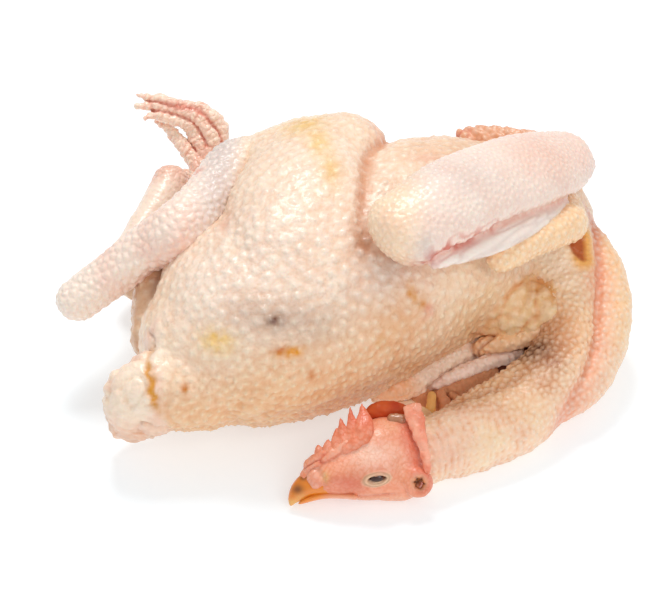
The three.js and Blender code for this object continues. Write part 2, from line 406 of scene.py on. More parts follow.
def skin_material(name, flesh=0.08, gloss=0.28, grain=1.0, grain_size=2.0):
    """Moist raw skin. The colour comes from the mesh, mottled at two scales. Fine cells and creases
    are bumps, and so are the rims of the goose bumps: wetter on top, with a painted highlight there."""
    material, shader, place = new_material(name)
    tint = place.node("ShaderNodeVertexColor", {"layer_name": "tint"})
    coarse = place.node("ShaderNodeTexNoise", None,
                        {"Vector": place, "Scale": 90.0, "Detail": 4.0, "Roughness": 0.6})
    fine = place.node("ShaderNodeTexNoise", None,
                      {"Vector": place, "Scale": 420.0, "Detail": 3.0, "Roughness": 0.6})
    dome = place.node("ShaderNodeAttribute", {"attribute_name": "dome"}, output=2)
    crisp = place.node("ShaderNodeMapRange", {"interpolation_type": "SMOOTHSTEP"},
                       {"Value": dome, "From Min": 0.1, "From Max": 0.95})
    # crisp lightens the base colour on goose bump tops: a painted highlight
    mottle = (coarse - 0.5) * 0.22 + (fine - 0.5) * 0.14 + crisp * 0.05 + 0.98
    base = place.node("ShaderNodeVectorMath", {"operation": "MULTIPLY"}, {0: tint})
    shade = place.node("ShaderNodeCombineXYZ", None, {0: mottle * 0.4 + 0.6, 1: mottle, 2: mottle})
    place.tree.links.new(shade.socket, base.socket.node.inputs[1])
    cells = place.node("ShaderNodeTexVoronoi", {"feature": "F1"},
                       {"Vector": place, "Scale": 1.0 / (grain_size * 0.001), "Randomness": 0.9})
    relief = (1.0 - cells) * 0.5 * grain + fine * 0.45 + crisp * 0.45
    bump = place.node("ShaderNodeBump", None,
                      {"Strength": 0.8, "Distance": 0.0007, "Height": relief})
    links = place.tree.links
    links.new(base.socket, shader.inputs["Base Color"])
    links.new(bump.socket, shader.inputs["Normal"])
    rough = 0.36 + (coarse - 0.5) * 0.35 - crisp * 0.08
    links.new(rough.socket, shader.inputs["Roughness"])
    wet = place.math("MULTIPLY", coarse, gloss * 2)
    links.new(wet.socket, shader.inputs["Coat Weight"])
    shader.inputs["Coat Roughness"].default_value = 0.16
    shader.inputs["Subsurface Weight"].default_value = flesh
    shader.inputs["Subsurface Radius"].default_value = (1.0, 0.42, 0.24)
    shader.inputs["Subsurface Scale"].default_value = 0.0014
    shader.inputs["IOR"].default_value = 1.4
    return material


def srgb(red, green, blue):
    """A display colour, 0 to 255, as linear light."""
    c = np.array([red, green, blue]) / 255
    return np.where(c < 0.04045, c / 12.92, ((c + 0.055) / 1.055) ** 2.4)


# Pale skin colour, also laid on goose bump tops and the thigh's top as a painted highlight.
WHITE_SKIN_AND_HIGHLIGHT = srgb(250, 234, 218)
PEACH = srgb(238, 194, 158)
BEIGE = srgb(226, 177, 135)
BROWN = srgb(176, 112, 74)
DARK = srgb(92, 44, 26)
ROSE = srgb(236, 178, 154)
DEEP_ROSE = srgb(226, 146, 118)
CORAL = srgb(232, 132, 104)
RED = srgb(214, 92, 66)
GREY_BLUE = srgb(196, 186, 182)
GREY = srgb(182, 152, 132)
STAIN = srgb(216, 140, 34)
YELLOW = srgb(238, 196, 112)


def paint(colours, weight, colour):
    """Mixes a colour into the colours by a weight from 0 to 1."""
    return colours + (np.asarray(colour) - colours) * np.clip(weight, 0, 1)[:, None]


def ragged_stains_and_shade(colours, verts, patches):
    """Soft stains and patches of painted shade, each [centre, radius, colour, weight], with ragged edges."""
    ragged = verts + 1.3 * np.stack([noise(verts + k, 3.0) for k in (0, 40, 80)], axis=1)
    for centre, radius, colour, weight in patches:
        colours = paint(colours, weight * spot(ragged, centre, radius), colour)
    return colours


def shade_hollows_highlight_tops(colours, height):
    """Paints shade into the colours in hollows, where height is 0, deepening and warming them, and paints
    a highlight on tops, where it is 1, whitening them."""
    height = np.clip(height, 0, 1)[:, None]
    hollow = colours * np.array([0.86, 0.62, 0.45])
    top = colours * 0.75 + 0.25 * WHITE_SKIN_AND_HIGHLIGHT
    return hollow + (colours - hollow) * np.minimum(height * 2, 1) + (top - colours) * np.maximum(
        height * 2 - 1, 0)


def ridged(points, size):
    """Noise with sharp creases: 0 in a crease, rising to 1."""
    return np.minimum(np.abs(noise(points, size)) * 2.2, 1.0)


def crease(gap, width):
    """1 where the gap is nothing, falling off over the width."""
    return np.exp(-((gap / width) ** 2))


SKIN = skin_material("raw_skin")
THIN_SKIN = skin_material("thin_skin", flesh=0.1, gloss=0.3, grain=0.5, grain_size=1.6)
FACE_SKIN = skin_material("face_skin", flesh=0.12, gloss=0.3, grain=0.7, grain_size=1.1)
FOOT_SKIN = skin_material("foot_skin", flesh=0.1, gloss=0.4, grain=0.5, grain_size=1.5)

# ---- The bird's frame of landmarks -----------------------------------------------------------
HIP_L = (-16.5, -4, 76)
KNEE_L = (3, 58, 80)
HOCK_L = (-121.9, -4.8, 49)
BALL_L = (-82, 77, 60)
KNEE_R = (34, 70, 27)
HOCK_R = (-99, 46, 21)
BALL_R = (-62, 117, 42)
ELBOW_L = (32, -26, 109)
WRIST_L = (115, 58, 88)
NAPE = (44, -74, 17)

TRUNK = Tube([
    (-66, -31, 44, 26, 22), (-58, -29, 45, 37, 32), (-47, -25, 46, 46, 39), (-33, -17, 50, 55, 46.5),
    (0, 4, 50, 57, 51), (32, 28, 52, 55, 53.5), (61, 46, 48, 47, 49), (88, 58, 46, 38, 39),
    (103, 62, 43, 27, 29)], spacing=4.0)
VENT = Tube([(-86, -16, 36, 11, 15), (-84, 2, 44, 12, 19), (-76, 14, 48, 12, 19)])
TAIL = Tube([
    (-62, -50, 39, 22, 23), (-74, -55, 38.5, 18.5, 20), (-84, -57, 36, 17, 19.5), (-90, -58, 33, 15, 18.5)])
TAIL_TIP = Tube([
    (-99.6, -57.6, 15, 5.5), (-91, -53.2, 16, 7.2), (-80.1, -50.9, 19, 7.5), (-70.5, -51.5, 24, 9)])
THIGH = Tube([(*HIP_L, 37.5, 34), (-12, 20, 80, 39, 33), (-8, 42, 80, 36.5, 31), (*KNEE_L, 27.5)])
THIGH_END = Tube([(*KNEE_L, 26), (-14, 58, 78, 27), (-28, 56, 77, 25)])
SHIN = Tube([
    (-36, 56, 78, 19), (-47, 52, 82, 16), (-60.6, 26.3, 84, 13.3), (-72.6, 7.3, 82, 13.6),
    (-89, 6.7, 71, 11.4), (-104.7, 3, 59, 10.8), (-113.3, -1.1, 54, 10.2), (*HOCK_L, 10.2)])
DRUMSTICK_R = Tube([
    (*KNEE_R, 26), (4, 68, 27, 27), (-26, 62, 26, 24), (-56, 55, 23, 16), (-80, 49, 21, 11.5),
    (*HOCK_R, 11)])
NECK = Tube([
    (95, 50, 47, 31, 32), (105, 40, 44, 27.5, 30), (112, 24, 38, 22, 25), (113, 4, 31, 17.5, 20),
    (111, -17, 24, 16.2, 18.5), (101, -36, 19, 16.6, 18), (85, -52, 16, 16, 17), (66, -63, 16, 15.5, 17),
    (*NAPE, 15.5)])
LOOSE_SKIN = Tube([
    (106, 54, 60, 11), (115, 46, 56, 11.5), (124, 33, 48, 13), (131, 14, 37, 13.5), (129, -8, 27, 12.5),
    (119.5, -28, 20, 11.5), (106, -42, 17, 10.5), (92, -50, 15, 9.5)])
FOLD = Tube([(116.5, 26, 67.5, 3.4), (117.3, 21, 64.5, 3.6), (118, 17.6, 62, 2.4), (119.6, 15, 60, 1.0)],
            spacing=0.8)
INNER_SKIN = Tube([
    (48, -64, 18, 8), (60, -57, 19, 9.5), (74, -48, 20, 10.5), (86, -40, 22, 11), (98, -31, 26, 11),
    (107, -20, 32, 10), (110, -6, 36, 9)])
PLEATS = Tube([(74, 12, 36, 16), (88, 6, 36, 15), (101, 6, 36, 15), (112, 2, 34, 14)])


# ---- Trunk, thighs and tail ------------------------------------------------------------------
def body_field(points):
    """The thigh runs into the hip softly, but ends in a crease against the breast and the belly."""
    x, y = points[:, 0], points[:, 1]
    leg = joined(THIGH.distance(points), THIGH_END.distance(points), 6.0)
    tail = joined(TAIL.distance(points), TAIL_TIP.distance(points), 4.0)
    trunk = joined(TRUNK.distance(points), tail, 2.0)
    trunk = joined(trunk, VENT.distance(points), 1.5)
    at_breast = ramp(x, 4, 20) * ramp(y, -22, 8)
    at_belly = ramp(x, -30, -46)
    soft = 13.0 - 10.5 * np.clip(at_breast + at_belly, 0, 1)
    whole = joined(trunk, leg, soft)
    whole = joined(whole, DRUMSTICK_R.distance(points), 3.0)
    return joined(whole, PLEATS.distance(points), 6.0)


def press(verts):
    """Presses what would sink through the table flat, with a soft edge."""
    soft = 2.5
    z = verts[:, 2]
    verts[:, 2] = np.maximum(0.5 * (z + np.sqrt(z * z + soft * soft)) - 0.5 * soft + 0.3, 0.0)
    return verts


def skin_net(field, low, high, step, levels=1):
    """A net over a field's zero level, settled onto it, then made finer. Also returns its normals."""
    verts, quads = net_over(field, low, high, step)
    verts, faces = finer(settle(verts, field), quads, levels)
    return verts, faces, normals_of(verts, faces)


BACK_STAINS = (
    ((-26.4, -57, 80), (4, 4, 3), srgb(112, 64, 40), 1.1),
    ((-53.7, -59.3, 70.5), (9, 7, 5), srgb(246, 200, 92), 0.9),
    ((-20, -65, 68.6), (6, 7, 2.2), srgb(232, 152, 30), 1.5),
    ((-24, -65, 70), (3, 6, 1.8), srgb(200, 104, 16), 1.2),
    ((-10.2, -66.2, 56.6), (2.4, 4, 2.4), srgb(206, 116, 34), 1.2),
    ((-67.6, -69.3, 50.8), (2, 3, 2.2), srgb(206, 120, 24), 1.3),
    ((-41.4, -70, 42.3), (2.2, 4, 2.2), srgb(210, 126, 34), 1.2),
    ((21.3, -48.3, 61.5), (3, 4, 3), STAIN, 0.6),
    ((35.2, -30.4, 77.1), (2, 4, 3), STAIN, 1.5),
    ((37.6, -31.6, 73.3), (1.8, 4, 3), STAIN, 1.1),
    ((40.9, -32, 68.8), (2.6, 4, 3), STAIN, 1.0),
    ((43.3, -31.7, 65), (3.4, 4, 3), srgb(226, 120, 96), 0.9),
)


def body_skin():
    """The trunk, thigh, right leg, vent and tail as one skin, with its folds, pleats and stains."""
    verts, faces, normals = skin_net(body_field, (-120, -105, -8), (146, 120, 122), 2.4)
    x, y, z = verts.T
    on_trunk, on_thigh = TRUNK.distance(verts), THIGH.distance(verts)
    on_pleats = PLEATS.distance(verts)
    on_leg_r, on_vent = DRUMSTICK_R.distance(verts), VENT.distance(verts)
    back = ramp(0.35 * x - 0.9 * y + 0.55 * (60 - z), 26, 62)
    wobble = 2.5 * noise(verts, 6)
    tail = ramp(x + wobble, -74, -80) * ramp(y, -34, -42)
    pleated = ramp(on_pleats, 4, 1) * ramp(on_trunk, -1, 2)
    flank = np.maximum(spot(verts, (16, -28, 96), (46, 34, 40)), spot(verts, (-26, -30, 98), (40, 36, 26)))
    thigh = ramp(on_thigh, 4, 0) * ramp(y, -8, 14)
    plain = 1 - np.clip(tail + pleated, 0, 1)

    spacing = 4.7 - 1.7 * back * (1 - flank) - 0.6 * thigh
    dome, cell, size = goose(verts, spacing)
    height = 0.6 + 0.5 * flank + 0.35 * back
    soft = np.clip(flank + thigh, 0, 1)
    relief = plain * height * (0.5 + 0.6 * size) * (dome + 0.35 * soft * cell)
    wrinkle = ridged(verts, 2.4)
    relief += plain * 0.35 * wrinkle + 0.2 * noise(verts, 5)
    along_back = verts @ np.array([[0.87, 0.5, 0], [-0.5, 0.87, 0], [0, 0, 1]]).T
    drape = ridged(along_back, (11, 3.4, 3.4))
    relief += plain * back * 0.9 * drape
    relief += plain * (0.9 * noise(verts, 21) + 0.5 * noise(verts, 10))

    ragged = wobble + 2.2 * noise(verts, 3.5)
    seam_tail = crease(x + 0.25 * (z - 52) + 82 + ragged, 1.9) * ramp(y, -44, -54) * ramp(z, 62, 54)
    seam_thigh = crease(on_thigh - on_trunk, 2.4) * ramp(x, 2, 16) * ramp(y, -24, 6)
    seam_vent = crease(on_vent - on_trunk, 1.8) * ramp(x, -60, -72)
    seam_leg = np.maximum(crease(on_leg_r - on_trunk, 2.4), seam_vent)
    cracks = ridged(verts, 7.0)
    relief += tail * (1.6 * noise(verts, 10) + 1.5 * np.minimum(cracks * 1.5, 1) + 0.8 * cell)
    relief -= 1.2 * seam_tail + 2.2 * seam_thigh + 1.2 * seam_leg

    along_pleats = np.column_stack([0.9 * x - 0.4 * z, y, 0.4 * x + 0.9 * z])
    folds = ridged(along_pleats, (6, 15, 9)) * (0.7 + 0.5 * noise(verts, 5)) * ramp(on_trunk, 0, 3)
    relief += pleated * (2.0 * folds + 1.4 * cell + 1.4 * noise(verts, 6))
    knee = spot(verts, (-44, -6, 98), (16, 22, 16))
    knee_rays = 0.5 + 0.5 * np.cos(np.arctan2(y + 10, x + 60) * 34 + 1.6 * noise(verts, 8))
    relief += knee * 0.7 * knee_rays

    verts = press(verts + normals * relief[:, None])
    colours = np.tile(srgb(250, 222, 194), (len(verts), 1))
    # paler over the thigh's top, where the overhead light falls: partly paler skin, partly painted highlight
    colours = paint(colours, 0.45 * spot(verts, (-10, 20, 112), (38, 40, 30)), WHITE_SKIN_AND_HIGHLIGHT)
    colours = paint(colours, 0.8 * back, srgb(240, 186, 132))
    colours = paint(colours, 0.5 * spot(verts, (-52, -34, 84), (34, 30, 22)), srgb(253, 238, 226))
    colours = paint(colours, 0.6 * ramp(x, 16, 46) * ramp(y, 20, 44), PEACH)
    # painted shade: darker and browner low down, near the table
    colours = paint(colours, 0.6 * ramp(z, 22, 6), srgb(190, 128, 86))
    colours = paint(colours, 0.55 * ramp(x, 44, 66) * ramp(y, 20, -10), srgb(255, 214, 160))
    colours = paint(colours, 0.55 * flank, srgb(250, 228, 212))
    # painted shadow cast by the wing's elbow onto the flank
    colours = paint(colours, 0.95 * spot(verts, (14, -20, 97), (6, 9, 9)), srgb(176, 116, 80))
    # painted shadow under the overhanging shin
    colours = paint(colours, 0.8 * spot(verts, (-85, -3, 61), (7, 12, 5)), srgb(160, 98, 60))
    colours = paint(colours, 0.9 * spot(verts, (104, 12, 60), (14, 14, 10)), srgb(255, 238, 214))
    colours = paint(colours, 0.6 * spot(verts, (30, -42, 66), (24, 16, 14)), srgb(236, 174, 112))
    colours = paint(colours, 0.7 * spot(verts, (58, -18, 68), (22, 14, 13)), srgb(255, 228, 196))
    colours = ragged_stains_and_shade(colours, verts, (
        ((-37, -56, 86), (20, 9, 12), GREY, 0.45),
        ((-12, -57, 80), (24, 10, 11), GREY, 0.6),
        ((14, -44, 84), (16, 12, 12), GREY, 0.15),
        ((19, -34, 92), (12, 12, 10), GREY, 0.35),
        ((28, -30, 88), (12, 8, 8), GREY_BLUE, 0.5),
        ((-14, 57, 106), (10, 14, 9), YELLOW, 0.9),
        ((-7, 36, 109), (5, 12, 9), YELLOW, 0.85),
        ((-1, 16, 111), (5, 11, 9), YELLOW, 0.7),
        ((22, 62, 98), (6, 9, 8), DEEP_ROSE, 0.35),
        ((-52, 0, 98), (4, 9, 7), DEEP_ROSE, 0.7),
        ((-6, -58, 85), (12, 3, 1.6), STAIN, 0.3),
        ((48, 35, 103), (13, 6, 8), ROSE, 0.4)))
    colours = paint(colours, pleated * 0.8, srgb(255, 222, 166))
    # painted shade in the creases between the pleats
    colours = paint(colours, pleated * np.clip(1 - folds, 0, 1) ** 2 * 0.55, srgb(232, 150, 88))
    pleat_stains = spot(verts, (96, -2, 52), (4, 9, 6)) + spot(verts, (104, 2, 52), (4, 9, 6))
    colours = paint(colours, 0.7 * pleated * pleat_stains, STAIN)
    colours = paint(colours, tail * 0.9, srgb(255, 232, 208))
    colours = paint(colours, tail * np.clip(noise(verts, 9), 0, 1) * 0.7, ROSE)
    colours = paint(colours, tail * ramp(z, 42, 26) * 0.8, srgb(240, 190, 158))
    seam_hue = seam_tail * np.clip(1.1 + noise(verts, 5), 0, 1) * ramp(z, 36, 46)
    # painted shade on the vent behind the trunk, below the shin
    behind = ramp(on_trunk - on_vent, -1, 3) * ramp(x, -62, -70) * (1 - tail)
    colours = paint(colours, behind * 0.7, srgb(214, 168, 128))
    # painted shade along the crease where the thigh meets the breast
    colours = paint(colours, seam_thigh * 0.8, srgb(214, 148, 108))
    # paler goose bump tops: partly their own paler colour, partly painted highlight
    colours = paint(colours, dome * (0.1 + 0.3 * flank) * plain, WHITE_SKIN_AND_HIGHLIGHT)
    colours = paint(colours, dome * 0.25 * back * plain, srgb(248, 216, 150))
    lift = 0.3 + (0.45 - 0.15 * flank) * dome + 0.2 * wrinkle + back * (0.2 * dome + 0.25 * drape - 0.18)
    lift += pleated * (0.7 * folds + 0.3 * cell - 0.3) + tail * (0.35 * np.minimum(cracks * 1.5, 1) - 0.1)
    # painted shade in the hollows and painted highlight on the tops, by relief height
    colours = shade_hollows_highlight_tops(colours, lift)
    deep = np.clip(0.5 * noise(verts, 14) + 0.3 * noise(verts, 6), 0, 1)
    colours = paint(colours, deep * 0.3 * plain, BEIGE)
    colours = paint(colours, seam_hue, srgb(224, 150, 30))
    broken = 0.7 + 0.5 * noise(verts, 2.2)
    for centre, radius, colour, strength in BACK_STAINS:
        colours = paint(colours, strength * broken * spot(verts, centre, radius), colour)
    return add_mesh("body_skin", verts, faces, SKIN, "skin", colours, dome=dome * plain * (1 - 0.45 * soft))


# ---- Lower left leg --------------------------------------------------------------------------
def shin_skin():
    """The left drumstick, from knee to hock, wrinkled towards the hock."""
    verts, faces, normals = skin_net(SHIN.distance, (-140, -26, 30), (-12, 84, 106), 1.4)
    x = verts[:, 0]
    wrinkly = ramp(x, -56, -74)
    mid = spot(verts, (-84, 24, 66), (20, 30, 30))
    dome, cell, size = goose(verts, 3.3 + 1.0 * mid)
    relief = (0.45 + 0.4 * mid) * cell + (0.2 + 0.4 * mid) * dome + 0.3 * size
    relief += 0.9 * noise(verts, 16) + 0.4 * noise(verts, 6) + 0.2 * ridged(verts, 2.2)
    verts = verts + normals * (relief - 0.6)[:, None]
    colours = np.tile(srgb(255, 232, 216), (len(verts), 1))
    colours = paint(colours, 0.8 * ramp(x, -72, -54), srgb(214, 200, 194))
    colours = paint(colours, np.clip(noise(verts, 11) + 0.45, 0, 1) * 0.5 * wrinkly, srgb(248, 186, 166))
    colours = paint(colours, 0.3 * spot(verts, (-80, 14, 56), (26, 16, 10)), DEEP_ROSE)
    colours = paint(colours, 0.5 * ramp(x, -104, -118), WHITE_SKIN_AND_HIGHLIGHT)
    # painted shade in the grooves and painted highlight on the cells' tops
    colours = shade_hollows_highlight_tops(colours, 0.44 + 0.42 * cell + 0.2 * dome)
    colours = ragged_stains_and_shade(colours, verts, (
        ((-64, 38, 92), (3.0, 3.6, 3.0), CORAL, 0.8),
        ((-56, 30, 84), (5, 8, 9), DEEP_ROSE, 0.4),
        ((-78, 18, 74), (8, 6, 6), DEEP_ROSE, 0.3)))
    colours = paint(colours, ramp(x, -52, -38), srgb(250, 222, 196))
    return add_mesh("shin_skin", verts, faces, SKIN, "skin", colours, dome=0.45 * cell + 0.35 * dome)


# ---- Neck ------------------------------------------------------------------------------------
def neck_field(points):
    """The neck joined to the loose skin outside its bend and the thin skin inside it."""
    neck = joined(NECK.distance(points), LOOSE_SKIN.distance(points), 1.2)
    return joined(neck, INNER_SKIN.distance(points), 2.5)


# The bend's tones; the darker ones toward the hole under the bend are painted shade, and the near-black one
# is painted shade in the hole itself.
BEND_TONES_AND_SHADE = (
    ((72, -61, 33), (16, 6, 8), srgb(214, 146, 102), 0.6),
    ((87, -54, 33), (9, 7, 7), srgb(236, 172, 124), 0.5),
    ((99, -47, 34), (8, 8, 8), srgb(200, 126, 82), 0.65),
    ((104, -35, 38), (7, 9, 8), srgb(164, 90, 50), 0.75),
    ((109, -25, 41), (8, 8, 8), srgb(226, 146, 92), 0.5),
    ((112, -14, 44), (7, 14, 7), srgb(250, 190, 138), 0.6),
    ((94, -26, 35), (9, 6, 7), srgb(66, 20, 6), 1.2),
    ((124, 7, 51), (6, 14, 10), srgb(238, 158, 118), 0.6),
    ((106, 13, 59), (10, 10, 9), srgb(255, 238, 214), 0.9),
)


def neck_skin():
    """The bent neck: fine waves run round it, and a groove parts the loose skin from it."""
    verts, faces, normals = skin_net(neck_field, (24, -96, -8), (152, 92, 86), 1.8)
    x, y = verts[:, 0], verts[:, 1]
    core, loose, inner = (tube.distance(verts) for tube in (NECK, LOOSE_SKIN, INNER_SKIN))
    groove = crease(core - loose, 2.2)
    pocket = crease(core - inner, 2.0)
    run = NECK.run(verts)
    waves = np.sin(run * 2 * math.pi / 3.3 + 1.8 * noise(verts, 8) + 1.1 * noise(verts, 3))
    broad = np.sin(run * 2 * math.pi / 11 + 2.2 * noise(verts, 14))
    patchy = 0.55 + 0.45 * noise(verts, 9)
    dome, cell, _ = goose(verts, np.full(len(verts), 2.7))
    bend = spot(verts, (112, -14, 36), (20, 24, 22))
    wrinkle = ridged(verts, (3.4, 3.4, 3.4))
    inside = np.maximum(bend, ramp(core - inner, -4, 1)) * ramp(core - loose, 6, -2)
    near_head = ramp(x, 96, 66) * ramp(y, -48, -60)
    relief = (0.15 + 0.2 * near_head) * waves * patchy + 0.4 * broad * patchy + 0.7 * noise(verts, 15)
    relief += (0.15 + 0.9 * inside) * cell + 0.22 * dome + (0.25 + 0.6 * inside) * wrinkle
    slit = FOLD.distance(verts)
    fold = ramp(slit, 2.0, -0.5)
    relief -= 1.6 * groove + 1.4 * pocket + 1.4 * fold
    verts = press(verts + normals * relief[:, None])
    colours = np.tile(srgb(255, 222, 182), (len(verts), 1))
    colours = paint(colours, 0.6 * ramp(loose - core, 1, -2) * ramp(y, -30, 0), srgb(255, 206, 148))
    colours = paint(colours, groove * 0.9, srgb(228, 132, 92))
    colours = paint(colours, 0.75 * crease(core - loose - 2, 6) * ramp(y, 34, 0), srgb(246, 176, 144))
    # painted shade in the crease where the inner skin meets the neck
    colours = paint(colours, pocket * 0.7, BROWN)
    colours = paint(colours, inside * 0.45, srgb(246, 182, 126))
    near_nape = ramp(y, -56, -66) * np.clip(0.4 + noise(verts, 9), 0, 1)
    colours = paint(colours, 0.4 * near_nape, srgb(246, 176, 150))
    # paler goose bump tops: partly their own paler colour, partly painted highlight
    colours = paint(colours, dome * 0.35, WHITE_SKIN_AND_HIGHLIGHT)
    lines = (0.2 - 0.15 * inside + 0.25 * near_head) * waves * patchy
    # painted shade in the hollows and painted highlight on the tops, by relief height
    colours = shade_hollows_highlight_tops(colours, 0.24 + 0.35 * cell + 0.3 * wrinkle + lines + 0.15 * dome - 0.12 * inside)
    # laid on heaviest in the creases: painted shade
    creased = np.clip(1.5 - 0.9 * cell - 0.25 * wrinkle, 0, 1.3)
    for centre, radius, colour, strength in BEND_TONES_AND_SHADE:
        colours = paint(colours, strength * creased * spot(verts, centre, radius), colour)
    # orange along the fold, with a dark core in the slit: partly the fold's own orange, partly painted shade
    colours = paint(colours, 0.9 * ramp(slit, 8, 2) * ramp(x, 112, 117), srgb(246, 176, 80))
    colours = paint(colours, fold * 0.95, srgb(186, 88, 30))
    # the BROWN and DARK patches are painted shade in the gap under the neck; the ROSE and STAIN ones are the
    # skin's own colour
    colours = ragged_stains_and_shade(colours, verts, (
        ((97, -22, 26), (14, 9, 10), BROWN, 0.7),
        ((95, -18, 19), (16, 8, 9), DARK, 0.95),
        ((78, -30, 14), (14, 7, 10), DARK, 0.85),
        ((60, -42, 12), (14, 7, 9), DARK, 0.7),
        ((50, -84, 28), (9, 8, 12), ROSE, 0.5),
        ((62, -80, 26), (8, 9, 9), ROSE, 0.35),
        ((84, -64, 28), (10, 8, 6), STAIN, 0.12),
        ((72, -72, 26), (7, 7, 7), STAIN, 0.12)))
    return add_mesh("neck_skin", verts, faces, SKIN, "skin", colours,
                    dome=np.maximum(0.7 * dome, 0.8 * cell * inside))


# ---- Wings -----------------------------------------------------------------------------------
OUTWARD = (0.1, -0.3, 0.95)
FOREARM = Tube([
    (*ELBOW_L, 18.3, 14), (49, -12, 111, 20, 13.5), (68, 7, 108, 20.8, 12.5), (88, 26.5, 101, 21, 11.5),
    (103.5, 44, 94, 19.5, 10.5), (*WRIST_L, 14.3, 9)], thin=OUTWARD, spacing=1.5)
HAND = Tube([(*WRIST_L, 9), (107, 72, 80, 8), (90, 78, 80, 8), (75, 81, 81, 6.5), (64, 82, 82, 3.5)],
            spacing=1)
UPPER_ARM = Tube([
    (77.6, -16, 84, 6.6), (89.4, -7, 83.5, 7), (99.6, 3, 82, 7.6), (111, 18, 77, 9), (110, 42, 66, 12)],
    spacing=1.5)
WEB = Tube([(42, -29, 101, 12, 4), (68, -13, 97, 13, 4.5), (88, 6, 93, 12, 4.5), (106, 28, 85, 9, 5)],
           thin=OUTWARD, spacing=1.5)
UNDERSIDE = Tube([(40, -14, 94, 12, 10), (66, 14, 88, 14, 12), (86, 34, 82, 13, 12), (102, 48, 74, 12, 13)],
                 spacing=1.5)


def forearm_field(points):
    """The left forearm joined to the hand that is folded back along it."""
    return joined(FOREARM.distance(points), HAND.distance(points), 2.0)


def left_wing():
    """The forearm and the hand, the web of skin under them, and what joins them to the trunk."""
    def field(points):
        wing = joined(forearm_field(points), WEB.distance(points), 1.5)
        return joined(wing, UNDERSIDE.distance(points), 3.0)
    verts, faces, normals = skin_net(field, (8, -56, 60), (136, 98, 130), 1.5)
    x = verts[:, 0]
    arm, web_gap, hand_gap = FOREARM.distance(verts), WEB.distance(verts), HAND.distance(verts)
    web = ramp(arm - web_gap, 0.0, 1.5) * ramp(hand_gap, 1, 4)
    hand = ramp(hand_gap, 1.5, 0) * ramp(arm, 0, 2)
    edge = crease(arm - web_gap, 2.0)
    along = verts @ np.array([[0.7, 0.7, -0.15], [-0.7, 0.7, 0], [0, 0, 1]]).T
    dome, cell, size = goose(verts, np.full(len(verts), 2.6))
    ruffled = crease(arm - web_gap + 2.5, 5.0) * ramp(x, 100, 50)
    fibres = ridged(along, (22, 2.4, 2.4))
    folds = ridged(along, (13, 3.8, 3.8))
    rounds = ridged(along, (2.6, 14, 14))
    relief = (1 - web) * (0.3 * cell + 0.3 * dome * (0.4 + size)) + web * (0.5 * fibres)
    relief += 0.35 * ramp(x, 56, 36) * rounds
    relief += ruffled * (1.2 * folds + 0.8 * noise(verts, 4)) + 0.7 * noise(verts, 14) - 1.3 * edge
    relief += hand * 0.8 * np.sin(along[:, 0] * 2 * math.pi / 4.6 + noise(verts, 7))
    verts = verts + normals * relief[:, None]
    colours = np.tile(srgb(251, 228, 214), (len(verts), 1))
    elbow = ramp(x, 48, 28)
    colours = paint(colours, elbow * 0.9, srgb(255, 222, 186))
    colours = paint(colours, 0.4 * spot(verts, (60, -4, 121), (22, 14, 8)), GREY_BLUE)
    colours = paint(colours, 0.55 * spot(verts, (98, 34, 104), (22, 20, 14)), ROSE)
    colours = paint(colours, web * 0.8, srgb(255, 242, 232))
    colours = paint(colours, web * (1 - fibres) * 0.35, srgb(200, 180, 170))
    lines = np.clip(1.6 - 3.2 * folds, 0, 1)
    colours = paint(colours, ruffled * 0.25, srgb(246, 178, 158))
    colours = paint(colours, edge * 0.35, CORAL)
    colours = paint(colours, hand, srgb(232, 170, 132))
    # paler goose bump tops: partly their own paler colour, partly painted highlight
    colours = paint(colours, dome * 0.3 * (1 - web), WHITE_SKIN_AND_HIGHLIGHT)
    # painted shade in the hollows and painted highlight on the tops, by relief height
    colours = shade_hollows_highlight_tops(colours, 0.36 + 0.4 * cell + 0.3 * web * fibres)
    colours = paint(colours, ruffled * lines * 0.85, srgb(206, 84, 60))
    colours = paint(colours, np.clip(noise(verts, 12), 0, 1) * 0.25, ROSE)
    colours = ragged_stains_and_shade(colours, verts, (
        ((40, -38, 108), (5, 5, 7), GREY_BLUE, 0.8),
        ((112, 62, 92), (4, 8, 6), DEEP_ROSE, 0.5),
        ((118, 50, 88), (5, 8, 8), CORAL, 0.4)))
    return add_mesh("left_wing", verts, faces, THIN_SKIN, "skin", colours, dome=0.6 * dome * (1 - web))


def upper_arm():
    """The left upper arm, under the folded forearm."""
    verts, faces, normals = skin_net(UPPER_ARM.distance, (60, -32, 36), (136, 70, 104), 1.7)
    dome, cell, _ = goose(verts, np.full(len(verts), 2.9))
    relief = 0.3 * cell + 0.35 * dome + 0.8 * noise(verts, 12) + 0.2 * ridged(verts, 3)
    verts = verts + normals * relief[:, None]
    colours = np.tile(srgb(255, 214, 168), (len(verts), 1))
    # paler goose bump tops: partly their own paler colour, partly painted highlight
    colours = paint(colours, dome * 0.3, WHITE_SKIN_AND_HIGHLIGHT)
    # painted shade in the hollows and painted highlight on the tops, by relief height
    colours = shade_hollows_highlight_tops(colours, 0.25 + 0.5 * cell)
    return add_mesh("upper_arm", verts, faces, SKIN, "skin", colours, dome=dome)


